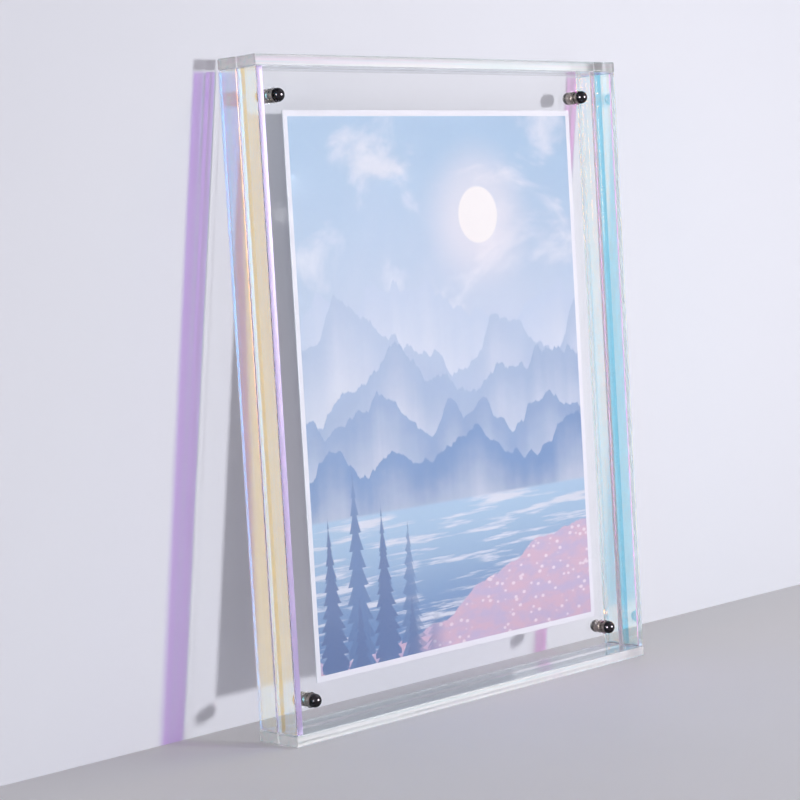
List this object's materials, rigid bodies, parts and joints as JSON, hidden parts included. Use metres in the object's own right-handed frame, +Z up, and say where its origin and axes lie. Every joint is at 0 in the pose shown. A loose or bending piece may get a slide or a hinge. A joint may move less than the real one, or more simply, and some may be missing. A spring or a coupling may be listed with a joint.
{
  "type": "acrylic photo frame",
  "caption": "Upright clear acrylic photo frame: two open trays held face to face by round-headed magnets, with a paper print between and colour-shifting film on the sides.",
  "frame": {"origin": "middle of the underside, where the frame stands, midway between the two trays", "axes": "+X to the viewer's right, the front faces -Y, +Z up"},
  "size_m": [0.19, 0.02, 0.24],
  "materials": {
    "acrylic": "clear polished acrylic",
    "film": "colour-shifting film, yellow to blue",
    "plating": "polished dark nickel plating",
    "keeper": "satin nickel plating",
    "paper": "resin-coated photo paper"
  },
  "bodies": {
    "back_tray": {"back_sheet": "acrylic", "back_top_rail": "acrylic", "back_bottom_rail": "acrylic", "back_left_wall": "acrylic", "back_right_wall": "acrylic", "back_left_film": "film", "back_right_film": "film", "back_magnet_top_left": "plating", "back_magnet_top_right": "plating", "back_magnet_bottom_left": "plating", "back_magnet_bottom_right": "plating", "back_keeper": "keeper"},
    "front_tray": {"front_sheet": "acrylic", "front_top_rail": "acrylic", "front_bottom_rail": "acrylic", "front_left_wall": "acrylic", "front_right_wall": "acrylic", "front_left_film": "film", "front_right_film": "film", "front_magnet_top_left": "plating", "front_magnet_top_right": "plating", "front_magnet_bottom_left": "plating", "front_magnet_bottom_right": "plating", "front_keeper": "keeper"},
    "print": {"photo_print": "paper"}
  },
  "joints": [
    {"name": "front_pull", "type": "slide", "parent": "back_tray", "child": "front_tray", "axis": [0, -1, 0], "range_m": [0, 0.05]},
    {"name": "print_lift", "type": "slide", "parent": "back_tray", "child": "print", "axis": [0, 0, 1], "range_m": [0, 0.222]}
  ]
}
